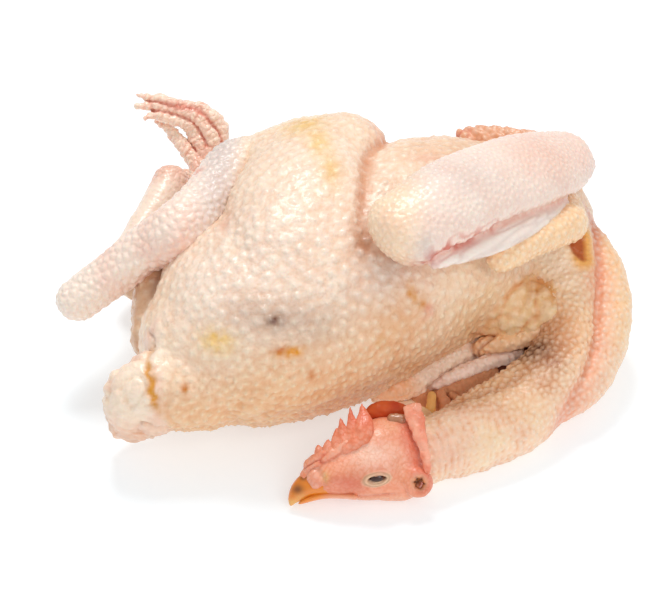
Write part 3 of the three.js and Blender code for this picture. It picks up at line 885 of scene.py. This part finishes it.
FACING = (0.0, -0.64, 0.77)
RW_FOREARM = Tube([
    (22.2, -30.8, 14, 4, 5), (26.5, -29.7, 15, 5.6, 6), (32.8, -27.3, 16, 6.8, 7), (41.5, -23.4, 17, 6.8, 7),
    (51.3, -16.5, 18, 5.8, 6), (61.2, -10, 19, 5.1, 6), (70.1, -4.2, 20, 4, 5)], thin=FACING, spacing=1)
RW_BLADE = Tube([
    (45.3, -27.2, 14, 1.2, 2), (51.1, -25.1, 16, 2.2, 2.4), (58.3, -23, 18, 2.9, 2.6),
    (72.9, -16.6, 20, 3.5, 2.8),
    (85.2, -11.2, 21, 3.4, 2.8), (89.6, -9.7, 21, 2.8, 2.6)], thin=FACING, spacing=1)
RW_UPPER = Tube([
    (69.4, -8.3, 22, 3.6, 4), (76.9, -9.2, 25, 4.7, 5), (85.5, -9.1, 27.5, 4.2, 5), (95, -8.7, 31, 4.3, 5),
    (103.1, -7.1, 34, 4, 5)], thin=FACING, spacing=1)


def right_wing():
    """The part of the right wing that shows between the back and the neck."""
    def field(points):
        wing = joined(RW_FOREARM.distance(points), RW_BLADE.distance(points), 0.8)
        return joined(wing, RW_UPPER.distance(points), 0.8)
    verts, faces, normals = skin_net(field, (8, -50, 0), (120, 16, 48), 1.1)
    arm, blade, upper = (tube.distance(verts) for tube in (RW_FOREARM, RW_BLADE, RW_UPPER))
    dome, cell, _ = goose(verts, np.full(len(verts), 3.0))
    along = verts @ np.array([[0.93, 0.37, 0.1], [-0.37, 0.93, 0], [0, 0, 1]]).T
    folds = ridged(along, (14, 3, 3))
    seam = np.maximum(crease(arm - blade, 1.0), crease(upper - np.minimum(arm, blade), 1.0))
    relief = 0.3 * dome + 0.35 * cell + 0.5 * folds + 0.5 * noise(verts, 6) - 1.2 * seam
    verts = press(verts + normals * relief[:, None])
    colours = np.tile(srgb(255, 226, 200), (len(verts), 1))
    colours = paint(colours, ramp(verts[:, 0], 44, 34), srgb(250, 188, 134))
    colours = paint(colours, 0.9 * ramp(blade - arm, 0.5, -0.5), srgb(255, 222, 204))
    colours = paint(colours, ramp(upper - np.minimum(arm, blade), 0.5, -0.5), srgb(255, 204, 150))
    # painted shade in the hollows and painted highlight on the tops, by relief height
    colours = shade_hollows_highlight_tops(colours, 0.45 + 0.3 * cell + 0.35 * folds)
    # painted shade in the seams between the wing's parts
    colours = paint(colours, seam * 0.6, BROWN)
    return add_mesh("right_wing", verts, faces, THIN_SKIN, "skin", colours, dome=dome)


# ---- Shanks and feet -------------------------------------------------------------------------
SHANK_L = Tube([
    (*HOCK_L, 9), (-118.5, 6.8, 50, 7.4), (-109.9, 15.7, 52, 6.9), (-102.2, 24.3, 54, 6.9),
    (-96.6, 36.8, 55, 7),
    (-91.4, 49.3, 57, 7.3), (-85.7, 62.1, 59, 8.6), (-81.2, 73.1, 60, 9.6)], spacing=1)
SHANK_R = Tube([(*HOCK_R, 10), (-88, 70, 26, 8), (-74, 96, 33, 8), (*BALL_R, 9, 8)], spacing=1)


def left_toes():
    """Three curled toes that hang behind the left shank, side by side."""
    x, y, z = BALL_L
    return [Tube([(x, y, z, 5), (x + 4 + 4 * side, y + 12, z - 10, 4.2), (x + 6 * side, y + 12, z - 26, 3.6),
                  (x - 2 + 6 * side, y + 7, z - 38, 1.8)], thin=(1, 0, 0), spacing=1) for side in (-1, 0, 1)]


def right_toes():
    """The right foot's four toes, fanned out and curled."""
    return [Tube(rows, spacing=1) for rows in (
        [(-61, 121, 44, 5), (-59.5, 127.5, 52, 4.8), (-63.5, 130, 60, 4.4), (-71, 132, 64, 4),
         (-81.5, 132, 67, 3.5),
         (-91, 133.6, 69.5, 2.4), (-102, 134.8, 71.5, 0.8)],
        [(-62, 117, 44, 5.2), (-64, 124, 52, 5), (-69, 129, 60, 4.8), (-77, 131, 64, 4.4),
         (-87, 131, 66, 3.4),
         (-95, 131, 67, 2.2), (-103, 129, 68, 0.7)],
        [(-66, 115, 44, 4.6), (-69, 122, 50, 4.3), (-74, 127, 57, 4), (-82, 128, 61, 3.4),
         (-89, 128, 63, 2.8),
         (-94, 127, 64, 1.9), (-98, 123, 64, 0.7)],
        [(-69, 110, 42, 4.4), (-73, 116, 45, 3.8), (-78, 120, 49, 3.0), (-82, 125, 52, 2.7),
         (-86, 129, 54, 2.2),
         (-92, 132, 56, 0.8)])]


def foot(name, shank, toes, low, high, base, step=1.2):
    """A shank with its toes. Each toe is ringed by folds, and creases part the toes."""
    def field(points):
        whole = shank.distance(points)
        for toe in toes:
            whole = joined(whole, toe.distance(points), 0.8)
        return whole
    verts, faces, normals = skin_net(field, low, high, step)
    gaps = np.sort(np.stack([toe.distance(verts) for toe in toes], axis=1), axis=1)
    on_toes = ramp(shank.distance(verts), 0.5, 3)
    parting = crease(gaps[:, 1] - gaps[:, 0], 0.9) * on_toes
    _, cell, _ = goose(verts, 2.2 + 0.9 * (1 - on_toes))
    rings = np.zeros(len(verts))
    for toe in toes:
        here = ramp(toe.distance(verts) - gaps[:, 0], 0.6, 0.0)
        phase = toe.run(verts) * 2 * math.pi / 4.2 + 2.5 * noise(verts, 5)
        rings = np.maximum(rings, here * (0.5 + 0.5 * np.cos(phase)))
    knob = ramp(verts[:, 1], 60, 74)
    relief = (0.2 + 0.3 * np.maximum(on_toes, knob)) * cell + on_toes * 0.4 * rings - 1.0 * parting
    relief += on_toes * 0.9 * noise(verts, 4) + (1 - on_toes) * 0.5 * noise(verts, 7)
    relief += 0.1 * (1 - knob) * np.sin(shank.run(verts) * 2 * math.pi / 3.6 + 2 * noise(verts, 6))
    verts = press(verts + normals * relief[:, None])
    colours = np.tile(base, (len(verts), 1))
    colours = paint(colours, on_toes * 0.9, srgb(255, 222, 200))
    colours = paint(colours, knob * (1 - on_toes) * 0.9, ROSE)
    colours = paint(colours, on_toes * (1 - rings) * np.clip(noise(verts, 6) + 0.4, 0, 1) * 0.45, CORAL)
    colours = paint(colours, parting * 0.8, RED)
    # painted shade in the hollows and painted highlight on the tops, by relief height
    colours = shade_hollows_highlight_tops(colours, 0.35 + (0.15 + 0.25 * np.maximum(on_toes, knob)) * cell + 0.15 * rings)
    return add_mesh(name, verts, faces, FOOT_SKIN, "foot_skin", colours,
                    dome=cell * np.maximum(on_toes, knob))


# ---- Head: its own frame is forward/back, jaw to crown, and out of the left cheek -------------
FACE_ORIGIN = np.array([0.0, -88.0, 18.0])
FACE_AXES = unit(np.array([(1.0, 0.0, 0.0), CROWN, SIDEWAYS]))


def on_face(rows):
    """Tube stations given in the head's frame, taken to the bird's frame."""
    return [tuple(FACE_ORIGIN + np.array(row[:3]) @ FACE_AXES) + tuple(row[3:]) for row in rows]


def face_tube(rows, spacing=0.6, thin=SIDEWAYS):
    """A tube through stations given in the head's frame."""
    return Tube(on_face(rows), thin=thin, spacing=spacing)


def horn_material(name, gloss, flesh=0.15, rough=0.3):
    """Smooth horn or wet flesh, coloured by the mesh."""
    material, shader, place = new_material(name)
    tint = place.node("ShaderNodeVertexColor", {"layer_name": "tint"})
    fine = place.node("ShaderNodeTexNoise", None,
                      {"Vector": place, "Scale": 700.0, "Detail": 3.0, "Roughness": 0.6})
    bump = place.node("ShaderNodeBump", None, {"Strength": 0.2, "Distance": 0.0003, "Height": fine})
    place.tree.links.new(tint.socket, shader.inputs["Base Color"])
    place.tree.links.new(bump.socket, shader.inputs["Normal"])
    shader.inputs["Roughness"].default_value = rough
    shader.inputs["Coat Weight"].default_value = gloss
    shader.inputs["Coat Roughness"].default_value = 0.1
    shader.inputs["Subsurface Weight"].default_value = flesh
    shader.inputs["Subsurface Radius"].default_value = (1.0, 0.4, 0.2)
    shader.inputs["Subsurface Scale"].default_value = 0.0015
    return material


HORN = horn_material("horn", 0.5)
WET_FLESH = horn_material("wet_flesh", 0.7)
INNER_FLESH = horn_material("inner_flesh", 0.05, rough=0.75)

SKULL = face_tube([
    (30, 5.4, -4.6, 19.6, 14), (22, 4.8, -3.2, 18.8, 14.5), (14, 1.4, -2, 15.2, 13),
    (5, -0.8, -1.6, 12.2, 11), (-3, -3, -2.2, 9.4, 9), (-9, -4.6, -3, 7.2, 6.8)], spacing=1.0)
CERE = face_tube([(-6.0, -5.0, 3.6, 4.9, 3.2), (-8.2, -2.4, 3.0, 4.8, 3.0)])
COMB_BASE = face_tube([
    (-9.5, 1.5, 0, 3.4, 3.6), (-3, 5.4, 2, 3.8, 5.0), (4, 9.4, 3, 3.8, 5.2), (11, 12.6, 4, 3.4, 4.6)])
BROW = face_tube([
    (-2, -2.5, 5.6, 3, 2.2), (6, -0.5, 7.6, 3, 2.2), (13, 1.2, 9.2, 3, 2.2), (24, 1.8, 10.6, 2.6, 1.8)])
EAR_RING = face_tube([(34.5, -5, 6.5, 2.4), (36.5, -1.6, 7.8, 2.4), (40.5, -2, 6.6, 2.4), (43, -6, 4, 2.4),
                      (41, -10, 3, 2.2), (36.5, -10, 5, 2.2), (34.5, -6, 6.5, 2.2)])
EYE_AT = (19.6, -4.3)
EAR_AT = (38.9, -6.0)


def face_place(verts):
    """Points in the head's frame."""
    return (verts - FACE_ORIGIN) @ FACE_AXES.T


def head_field(points):
    """The skull joined to the comb's base, the cere, the brow and the ring round the ear."""
    whole = joined(SKULL.distance(points), COMB_BASE.distance(points), 2.0)
    whole = joined(whole, CERE.distance(points), 1.2)
    whole = joined(whole, BROW.distance(points), 4.0)
    return joined(whole, EAR_RING.distance(points), 2.0)


def ellipse(place, centre, half, lean):
    """How many times as far out as an ellipse's rim each point is, seen along the cheek's axis."""
    u, v = place[:, 0] - centre[0], place[:, 1] - centre[1]
    along = u * math.cos(lean) + v * math.sin(lean)
    across = v * math.cos(lean) - u * math.sin(lean)
    return np.sqrt((along / half[0]) ** 2 + (across / half[1]) ** 2)


def head_skin():
    """The face's bare skin, with the eyelids and the ear."""
    verts, faces, normals = skin_net(head_field, (-22, -112, -6), (70, -48, 48), 1.0)
    place = face_place(verts)
    u, v, w = place.T
    cheek = ramp(w, 1, 4)
    lids = ellipse(place, EYE_AT, (6.2, 3.0), 0.17)
    slit = ellipse(place, (EYE_AT[0] + 0.3, EYE_AT[1] + 0.3), (3.7, 1.0), 0.12)
    ear = ellipse(place, EAR_AT, (3.6, 3.4), 0)
    comb_gap, cere_gap, skull_gap = (t.distance(verts) for t in (COMB_BASE, CERE, SKULL))
    comby = ramp(comb_gap - skull_gap, 1.0, -1.0)
    cere = ramp(cere_gap - np.minimum(skull_gap, comb_gap), 1.0, -0.5)
    streaks = ridged(place @ np.array([[0.86, 0.5, 0], [-0.5, 0.86, 0], [0, 0, 1]]).T, (7, 1.7, 3))
    relief = 0.35 * noise(verts, 7) + 0.12 * ridged(verts, 1.6)
    relief += comby * (1.0 * streaks + 0.5 * noise(verts, 2.4))
    rings = 0.5 + 0.5 * np.cos(lids * 2 * math.pi * 2.6 + 0.8 * noise(verts, 3))
    relief += cheek * ramp(lids, 1.25, 0.95) * (0.55 * rings + 0.5)
    relief -= cheek * ramp(slit, 1.25, 0.85) * 1.9
    around = np.arctan2(v - EAR_AT[1], u - EAR_AT[0])
    star = (0.5 + 0.5 * np.cos(around * 6 + 0.7 + 1.2 * noise(verts, 3))) ** 2
    relief -= cheek * ramp(ear, 0.8, 0.1) * (0.6 + 1.6 * star)
    relief -= 0.9 * crease(cere_gap - np.minimum(skull_gap, comb_gap), 0.6)
    mouth = crease(v + 11.6 - 0.0035 * (u + 8) ** 2 + 0.11 * (u + 8), 0.8) * ramp(u, 32, 24) * cheek
    relief -= 0.7 * mouth
    verts = press(verts + normals * relief[:, None])
    colours = np.tile(srgb(247, 164, 128), (len(verts), 1))
    # a pale patch on the forehead: painted highlight
    colours = paint(colours, 0.8 * crease(np.hypot((u - 18) / 1.7, v - 7), 7.5), srgb(247, 208, 188))
    colours = paint(colours, 0.35 * crease(np.hypot((u - 24) / 1.6, v - 19), 5), PEACH)
    colours = paint(colours, 0.75 * ramp(u + 0.25 * v, 32, 38), CORAL)
    colours = paint(colours, 0.8 * comby * (1.1 - streaks), srgb(220, 112, 84))
    colours = paint(colours, 0.5 * ramp(u, 18, 4) * ramp(v, -1, -6), CORAL)
    colours = paint(colours, 0.55 * crease(np.hypot((u - 9) / 1.6, v + 6.5), 4.5), srgb(216, 106, 74))
    colours = paint(colours, cere * 0.6, srgb(244, 182, 156))
    colours = paint(colours, 0.8 * spot(place, (-3.6, -3.6, 6), (1.8, 2.6, 4)), YELLOW)
    colours = paint(colours, mouth * 0.6, RED)
    fine = ridged(verts, 1.5)
    # painted shade in the hollows and painted highlight on the tops, by relief height
    colours = shade_hollows_highlight_tops(colours, 0.26 + 0.36 * fine + comby * 0.3 * (streaks - 0.5))
    colours = paint(colours, cheek * ramp(lids, 1.3, 0.9) * 0.75, srgb(242, 212, 174))
    # darker in the grooves of the lid folds: painted shade
    colours = paint(colours, cheek * ramp(lids, 1.3, 1.0) * (1 - rings) * 0.6, srgb(178, 122, 86))
    colours = paint(colours, cheek * ramp(slit, 1.3, 0.95), DARK)
    colours = paint(colours, cheek * ramp(ear, 1.35, 0.9) * 0.45, PEACH)
    colours = paint(colours, cheek * ramp(ear, 1.2, 0.5) * 0.8, srgb(222, 146, 82))
    # the ear's star cracks and its hole painted dark: painted shade
    colours = paint(colours, cheek * ramp(ear, 1.15, 0.5) * star, DARK)
    colours = paint(colours, cheek * ramp(ear, 0.35, 0.15), DARK)
    colours = paint(colours, 0.3 * ramp(v, -9, -14), PEACH)
    colours = paint(colours, 0.35 * cheek * np.clip(noise(verts, 6), 0, 1), CORAL)
    return add_mesh("head_skin", verts, faces, FACE_SKIN, "comb", colours)


COMB_SPIKES = (
    ((-6, 4, 3, 2.8, 2.4), (-6.6, 8, 2.6, 2.0, 1.9), (-6.9, 10.6, 2.4, 0.6, 0.6)),
    ((-2.6, 6, 4, 3.0, 2.6), (-2.6, 10, 3.4, 2.1, 2.0), (-2.4, 13, 3, 0.6, 0.6)),
    ((2, 8, 5, 3.4, 2.8), (1.4, 13, 4, 2.4, 2.0), (1.5, 18, 3, 0.7, 0.6)),
    ((6, 9, 6, 3.8, 3.0), (4.4, 16, 4.6, 2.4, 1.8), (3.0, 23.5, 3, 0.5, 0.5)),
    ((10, 11, 7, 4.0, 3.0), (8.6, 19, 5, 2.7, 1.8), (7.5, 27.8, 3, 0.5, 0.5)),
    ((13.6, 13, 8, 3.2, 2.6), (14.2, 18, 7.4, 4.2, 2.2), (13.8, 23.4, 5, 3.1, 1.6),
     (12.8, 29.4, 2, 0.5, 0.5)),
)


def comb_flesh():
    """The comb's points, each a tube that ends in a tip."""
    spikes = [face_tube(rows, spacing=0.7) for rows in COMB_SPIKES]
    def field(points):
        whole = spikes[0].distance(points)
        for spike in spikes[1:]:
            whole = joined(whole, spike.distance(points), 0.7)
        return whole
    verts, faces, normals = skin_net(field, (-14, -96, 14), (24, -54, 52), 0.9)
    place = face_place(verts)
    relief = 0.25 * noise(verts, 3.0) + 0.1 * ridged(verts, 1.4)
    verts = verts + normals * relief[:, None]
    colours = np.tile(srgb(238, 144, 110), (len(verts), 1))
    colours = paint(colours, 0.6 * ramp(place[:, 1], 14, 25), srgb(228, 108, 78))
    colours = paint(colours, 0.5 * ramp(place[:, 1], 13, 7), srgb(248, 178, 150))
    # painted shade in the hollows and painted highlight on the tops, by relief height
    colours = shade_hollows_highlight_tops(colours, 0.2 + 0.45 * ridged(verts, 2.0))
    return add_mesh("comb_flesh", verts, faces, FACE_SKIN, "comb", colours)


def lump(name, rows, material, slot, base, rough=0.2, step=0.9, second=None):
    """A small closed piece along a row of stations given in the head's frame."""
    tube = face_tube(rows, spacing=0.7)
    verts, faces, normals = skin_net(tube.distance, tube.low + FAR - 3, tube.high - FAR + 3, step)
    relief = rough * (noise(verts, 3.5) + 0.5 * noise(verts, 1.5))
    verts = press(verts + normals * relief[:, None])
    colours = np.tile(base, (len(verts), 1))
    if second is not None:
        colours = paint(colours, np.clip(0.5 + noise(verts, 4), 0, 1), second)
    return add_mesh(name, verts, faces, material, slot, colours)


def beak():
    """The hooked upper beak and the lower beak, each one closed piece."""
    upper = face_tube([(-3, -5.6, -0.5, 6.2, 6.2), (-10, -6.2, -1.5, 6.2, 5.2), (-15, -9.2, -2.6, 4.8, 4.0),
                       (-18.4, -13, -3.4, 2.5, 2.2), (-19.6, -16, -4, 0.8, 0.7)])
    lower = face_tube([(10, -12.2, 1.2, 1.6, 5), (2, -11.6, -0.2, 1.6, 4.2), (-6, -11.9, -1.0, 1.6, 4),
                       (-12.0, -13.6, -1.8, 1.3, 2.8), (-15.5, -15.2, -2.6, 0.6, 1.0)])
    for name, tube in (("upper_beak", upper), ("lower_beak", lower)):
        verts, faces, normals = skin_net(tube.distance, (-24, -112, -4), (18, -78, 34), 0.8)
        verts = press(verts + normals * (0.1 * noise(verts, 4))[:, None])
        place = face_place(verts)
        colours = np.tile(srgb(238, 138, 34), (len(verts), 1))
        if tube is upper:
            colours = paint(colours, 0.85 * spot(place, (-16.5, -9.5, 2), (2.8, 2.4, 6)), srgb(104, 52, 26))
            colours = paint(colours, 0.8 * spot(place, (-13.8, -4.0, 2), (2.2, 1.6, 6)), srgb(96, 52, 26))
            colours = paint(colours, 0.5 * spot(place, (-15, -13.0, 0), (2.6, 1.6, 8)), srgb(236, 176, 96))
            colours = paint(colours, 0.7 * ramp(place[:, 1], -12.5, -15.5), srgb(238, 188, 104))
        else:
            colours = paint(colours, 0.8 * ramp(place[:, 0], -8, 0), srgb(238, 158, 122))
        add_mesh(name, verts, faces, HORN, "beak", colours)


def eyeball():
    """The eye between the lids, with its pale corner."""
    ball = face_tube([(18.6, -4.2, 7.2, 3.0), (20.6, -4.0, 7.4, 3.0)])
    verts, faces, _ = skin_net(ball.distance, (10, -106, 12), (30, -84, 34), 0.8)
    colours = np.tile(srgb(64, 30, 16), (len(verts), 1))
    place = face_place(verts)
    colours = paint(colours, ramp(place[:, 0], 22, 23.2), srgb(140, 84, 56))
    add_mesh("eyeball", verts, faces, HORN, "eye", colours)


body_skin()
shin_skin()
neck_skin()
left_wing()
upper_arm()
right_wing()
foot("left_foot", SHANK_L, left_toes(), (-136, -20, 10), (-60, 108, 78), srgb(254, 230, 210))
foot("right_foot", SHANK_R, right_toes(), (-114, 30, 6), (-42, 142, 78), srgb(246, 200, 176))
head_skin()
comb_flesh()
beak()
eyeball()
lump("hood_strip", [(36.2, 28.5, 5, 4.4, 2.2), (38.0, 20, 9.2, 4.0, 2.1), (40.3, 12, 10.6, 3.0, 2.0),
                    (42, 5, 10.2, 2.2, 1.9), (42.6, -1, 9.2, 1.5, 1.5)],
     FACE_SKIN, "comb", srgb(252, 176, 146), 0.8, second=srgb(240, 140, 108))
lump("rear_lobe", [(16, 26, -6, 2.5), (21, 27.5, -6, 4.2), (27, 28, -6, 4.2), (34, 27.5, -5, 2.4)],
     INNER_FLESH, "comb", srgb(186, 58, 10), 0.4, second=srgb(208, 88, 28))
lump("nape_lump", [(27, 23.2, 1, 2.6, 2.4), (31.5, 23, 2, 2.6, 2.2)],
     WET_FLESH, "comb", srgb(186, 128, 92), 0.4)


def innards():
    """Fat, gullet and torn skin that show in the gap between the back and the neck, and a dark piece of
    painted shade deep in that gap.
    """
    pieces = (
        ("nook", [(40.7, -26.3, 8, 5.5), (46.3, -32, 8, 6), (52.4, -34.8, 8, 5.5), (58.2, -33.4, 8, 4.5)],
         srgb(214, 144, 100), 1.0),
        ("gap_skin", [(47.6, -20.9, 8, 5), (51.3, -25.2, 9, 5), (61.1, -22, 11, 6.5), (73.4, -15.9, 12, 7)],
         srgb(222, 156, 112), 1.1),
        # a dark piece deep in the gap: painted shade
        ("gap_painted_shade", [(73.4, -15.9, 9, 6.5), (85.8, -9.4, 11, 7.5), (99.9, 0.5, 14, 8)],
         srgb(120, 58, 34), 0.6),
        ("elbow_skin", [(19.5, -29.1, 8, 1.6), (30, -32.7, 8, 2), (39.6, -32, 8, 2), (49.3, -28.4, 8, 2)],
         srgb(244, 210, 180), 0.5),
        ("fat", [(47, -34, 15, 2.0), (46.5, -38, 15, 2.4), (46, -43, 14, 2.6)], srgb(244, 190, 112), 0.4),
        ("gullet", [(51, -33, 14, 2.6), (53, -39, 14, 3.2), (53, -44, 14, 2.8)], srgb(222, 154, 112), 0.9),
        ("membrane", [(57, -33, 14, 2.2), (59, -38, 14, 2.6), (58, -44, 14, 2.6)], srgb(226, 166, 124), 0.9),
        ("thread", [(42, -45, 16, 1.6), (46, -48, 15, 1.8), (51, -49, 15, 1.5)], srgb(240, 206, 156), 0.4),
    )
    for name, rows, base, rough in pieces:
        tube = Tube(rows, spacing=0.8)
        verts, faces, normals = skin_net(tube.distance, tube.low + FAR - 3, tube.high - FAR + 3, 1.1)
        verts = press(verts + normals * (rough * (noise(verts, 3.5) + 0.5 * noise(verts, 1.5)))[:, None])
        colours = paint(np.tile(base, (len(verts), 1)), np.clip(noise(verts, 4), 0, 1) * 0.4, BROWN)
        add_mesh(name, verts, faces, INNER_FLESH, "skin", colours)


innards()


# ---- Table, light and camera -------------------------------------------------------------------
def stage():
    """The white table, the white surroundings and two soft lights."""
    half = 4.0
    mesh = bpy.data.meshes.new("table")
    mesh.from_pydata(
        [(-half, -half, 0), (half, -half, 0), (half, half, 0), (-half, half, 0)], [], [(0, 1, 2, 3)])
    table = bpy.data.objects.new("table", mesh)
    bpy.context.scene.collection.objects.link(table)
    material, shader, _ = new_material("white_table")
    shader.inputs["Base Color"].default_value = (0.57, 0.63, 0.665, 1)
    shader.inputs["Roughness"].default_value = 0.7
    shader.inputs["Emission Color"].default_value = (1, 1, 1, 1)
    shader.inputs["Emission Strength"].default_value = 0.49
    mesh.materials.append(material)
    world = bpy.data.worlds.new("studio")
    world.use_nodes = True
    background = world.node_tree.nodes["Background"]
    background.inputs[0].default_value = (1.0, 1.0, 1.0, 1)
    background.inputs[1].default_value = 0.52
    bpy.context.scene.world = world
    for name, place, size, power in (
        ("overhead", (-0.1, 0.45, 1.1), 0.4, 7.0),
        ("front", (0.4, -0.9, 0.9), 0.7, 4.3),
    ):
        data = bpy.data.lights.new(name, "AREA")
        data.size = size
        data.energy = power
        lamp = bpy.data.objects.new(name, data)
        lamp.location = place
        aim = -Vector(place)
        lamp.rotation_euler = aim.to_track_quat("-Z", "Y").to_euler()
        bpy.context.scene.collection.objects.link(lamp)


def camera():
    """A long lens that looks down at 40 degrees from the back's side."""
    tilt = math.radians(40)
    distance = 1.1
    view_width = 0.320
    data = bpy.data.cameras.new("camera")
    data.sensor_width = 36
    data.lens = 36 * distance / view_width
    aim = (SHIFT + np.array([0, 0, 45.0])) * MM
    thing = bpy.data.objects.new("camera", data)
    thing.location = (aim[0], aim[1] - distance * math.cos(tilt), aim[2] + distance * math.sin(tilt))
    thing.rotation_euler = (math.pi / 2 - tilt, 0, 0)
    bpy.context.scene.collection.objects.link(thing)
    bpy.context.scene.camera = thing


stage()
camera()
bpy.context.scene.view_settings.view_transform = "Standard"
